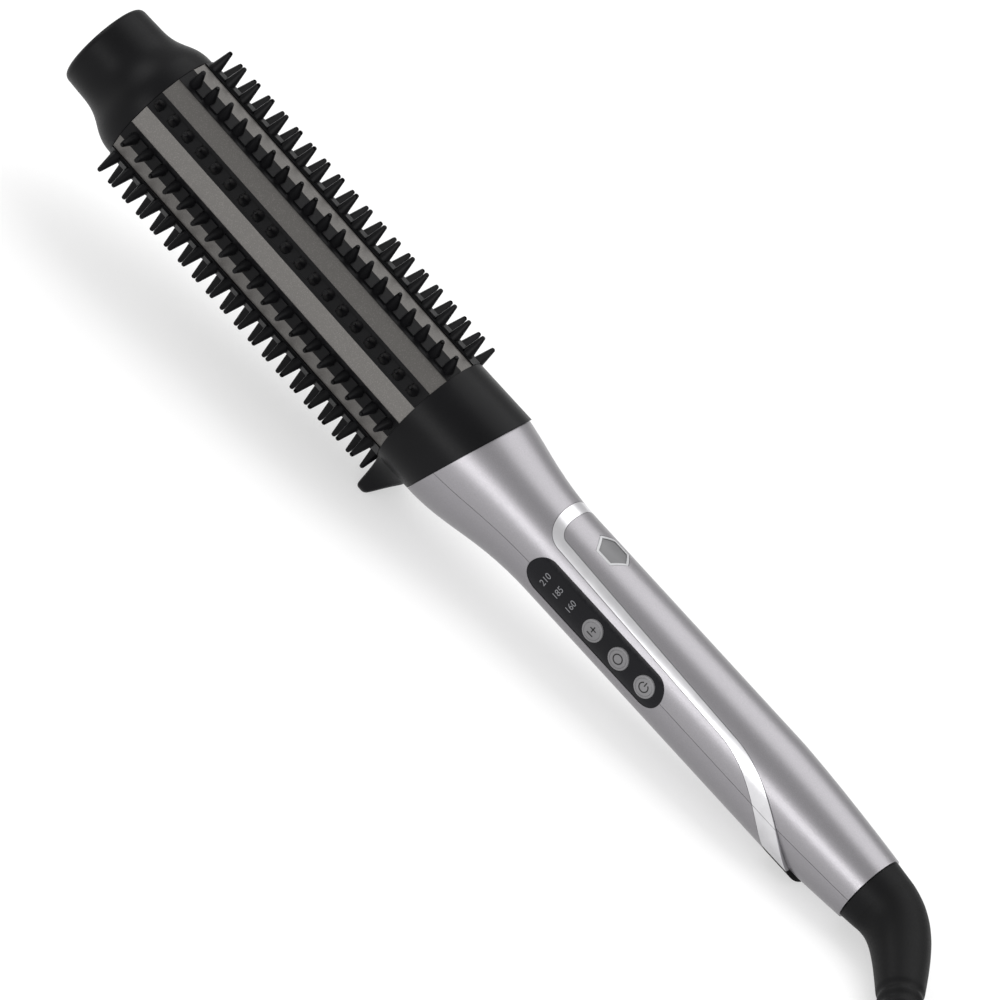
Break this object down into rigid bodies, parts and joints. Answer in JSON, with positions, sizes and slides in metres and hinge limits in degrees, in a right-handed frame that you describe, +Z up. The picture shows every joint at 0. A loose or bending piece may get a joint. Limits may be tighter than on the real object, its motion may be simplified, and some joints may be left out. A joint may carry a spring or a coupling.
{
  "type": "steam hair straightener brush",
  "caption": "Round heated straightening brush: ten-sided barrel with bristle rows, cool tip, rest fin, button panel, handle and swivelling mains lead",
  "frame": {"origin": "bottom centre of the brush's bounding box without its mains lead, on the table under the brush", "axes": "+X runs along the brush from the tip to the tail, +Z up, the button panel faces -Y"},
  "size_m": [0.4893, 0.1051, 0.0679],
  "materials": {
    "coated_aluminium": "satin grey ceramic-style coating",
    "bristle_black": "heat-resistant nylon, fine matt",
    "cap_plastic": "dark grey heat-resistant plastic, satin",
    "holder_plastic": "glass-filled insulating plastic",
    "bare_aluminium": "bare extrusion",
    "heater_ceramic": "ceramic heater in amber film",
    "fuse_metal": "tinned case",
    "sensor_glass": "amber sleeve",
    "collar_plastic": "dark grey plastic, satin",
    "shell_silver": "silver metallic paint, satin",
    "chrome_trim": "bright plating",
    "soft_black": "soft, matt",
    "lens_grey": "smoked lens",
    "light_guide_clear": "frosted clear",
    "board_green": "circuit board",
    "panel_black": "gloss black",
    "button_grey": "grey, satin",
    "switch_black": "moulded black",
    "capacitor_yellow": "yellow case",
    "screw_steel": "zinc plated",
    "wire_red": "silicone insulation",
    "wire_white": "silicone insulation",
    "wire_brown": "insulation",
    "swivel_plastic": "black, satin",
    "contact_brass": "bare",
    "lead_rubber": "black flexible jacket, satin",
    "pin_chrome": "nickel plated"
  },
  "bodies": {
    "brush": {"heated_barrel": "coated_aluminium", "bristle_strip_01": "bristle_black", "bristle_strip_02": "bristle_black", "bristle_strip_03": "bristle_black", "bristle_strip_04": "bristle_black", "bristle_strip_05": "bristle_black", "bristle_strip_06": "bristle_black", "bristle_strip_07": "bristle_black", "bristle_strip_08": "bristle_black", "bristle_strip_09": "bristle_black", "bristle_strip_10": "bristle_black", "tip_cap": "cap_plastic", "tip_end_disc": "cap_plastic", "front_holder": "holder_plastic", "rear_holder": "holder_plastic", "heater_core_upper": "bare_aluminium", "heater_core_lower": "bare_aluminium", "ptc_heater": "heater_ceramic", "thermal_fuse": "fuse_metal", "temperature_sensor": "sensor_glass", "collar": "collar_plastic", "upper_shell": "shell_silver", "lower_shell": "shell_silver", "top_cover": "shell_silver", "trim_band": "chrome_trim", "trim_foot_left": "chrome_trim", "trim_foot_right": "chrome_trim", "rest_pad": "soft_black", "status_lens": "lens_grey", "light_pipe": "light_guide_clear", "light_guide": "light_guide_clear", "status_board": "board_green", "control_board": "board_green", "power_board": "board_green", "control_panel": "panel_black", "tact_switches": "switch_black", "board_link": "switch_black", "power_triac": "switch_black", "film_capacitor": "capacitor_yellow", "board_screws": "screw_steel", "shell_screws": "screw_steel", "tip_screw": "screw_steel", "heater_leads": "wire_red", "sensor_leads": "wire_white", "mains_leads": "wire_brown", "swivel_socket": "swivel_plastic", "contact_carrier": "swivel_plastic", "spring_contacts": "contact_brass"},
    "button_temperature": {"button_temperature": "button_grey"},
    "button_mode": {"button_mode": "button_grey"},
    "button_power": {"button_power": "button_grey"},
    "swivel": {"swivel_body": "swivel_plastic", "slip_rings": "contact_brass", "cord_boot": "lead_rubber", "cord": "lead_rubber", "cord_coil": "lead_rubber", "cord_tie": "lead_rubber", "plug_lead": "lead_rubber", "plug_body": "lead_rubber", "plug_pins": "pin_chrome"}
  },
  "joints": [
    {"name": "button_temperature_press", "type": "slide", "parent": "brush", "child": "button_temperature", "axis": [0, 1, 0], "range_m": [0, 0.0004], "stiffness_N_per_m": 60},
    {"name": "button_mode_press", "type": "slide", "parent": "brush", "child": "button_mode", "axis": [0, 1, 0], "range_m": [0, 0.0004], "stiffness_N_per_m": 60},
    {"name": "button_power_press", "type": "slide", "parent": "brush", "child": "button_power", "axis": [0, 1, 0], "range_m": [0, 0.0004], "stiffness_N_per_m": 60},
    {"name": "cord_swivel", "type": "hinge", "parent": "brush", "child": "swivel", "pos_m": [0.16532, 0, 0.01221], "axis": [0.9957, 0, -0.0927], "continuous": true}
  ]
}
